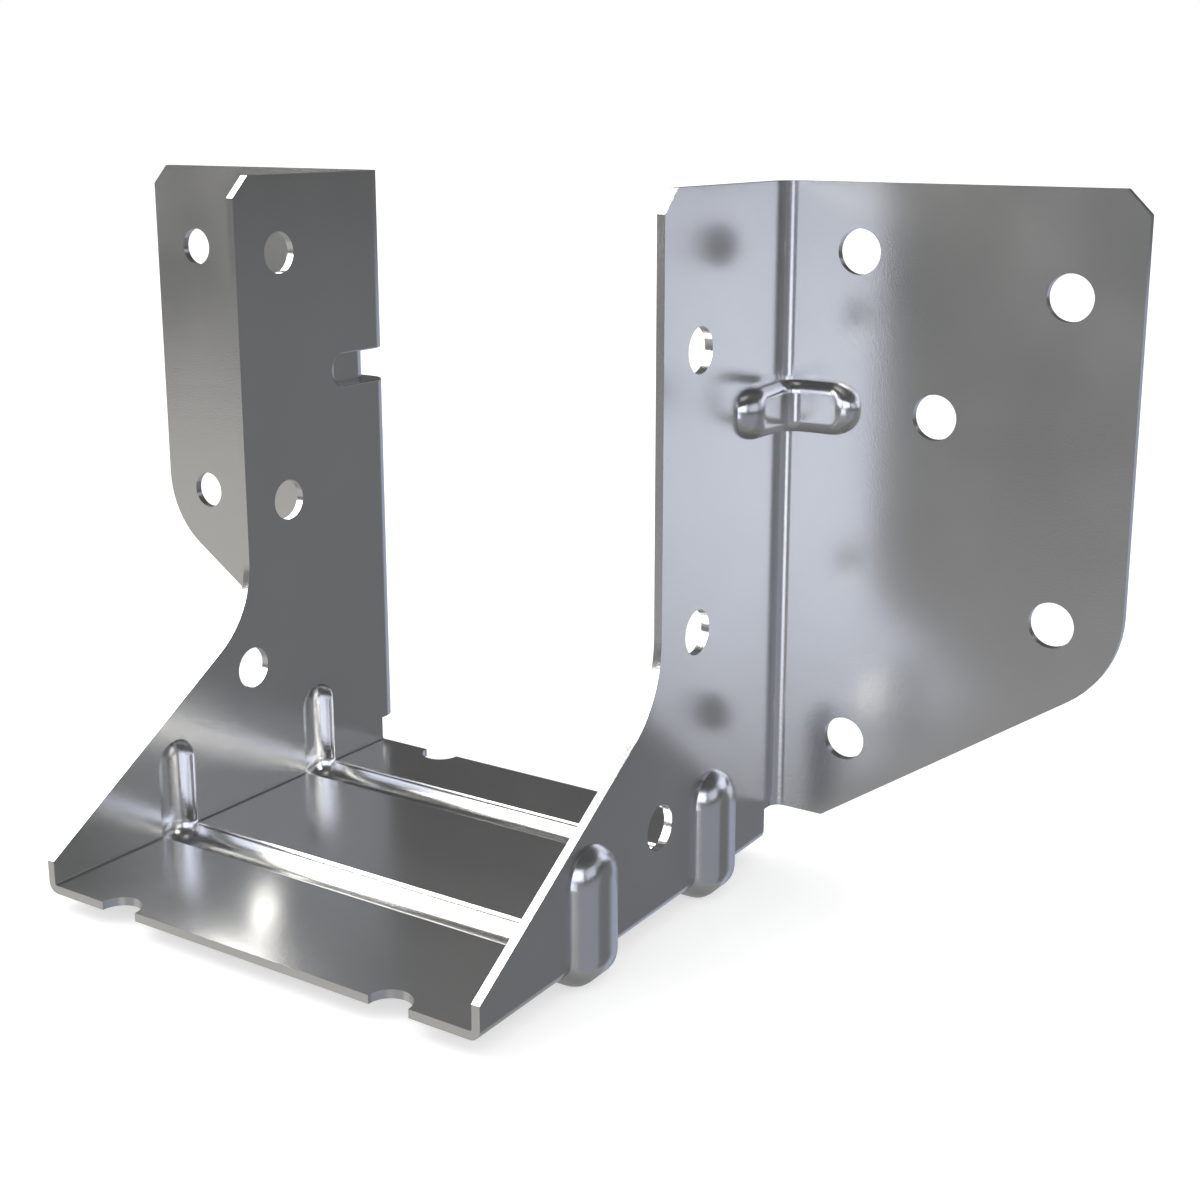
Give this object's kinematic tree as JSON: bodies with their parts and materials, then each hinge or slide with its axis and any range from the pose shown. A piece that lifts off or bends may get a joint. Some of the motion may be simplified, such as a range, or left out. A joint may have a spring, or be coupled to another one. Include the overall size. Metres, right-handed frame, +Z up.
{
  "type": "joist hanger",
  "caption": "Folded galvanised sheet hanger that carries the end of a timber joist on a seat between two side plates and nails to a header through two flanges.",
  "frame": {"origin": "centre of the seat's upper face, on which the joist stands", "axes": "+X along the header to the right, +Y from the open end of the seat towards the header, +Z up"},
  "size_m": [0.1452, 0.0612, 0.082],
  "materials": {
    "galvanised_steel": "glossy zinc coat, finely mottled, with bare sheared edges"
  },
  "bodies": {
    "root": {"hanger": "galvanised_steel"}
  },
  "joints": []
}
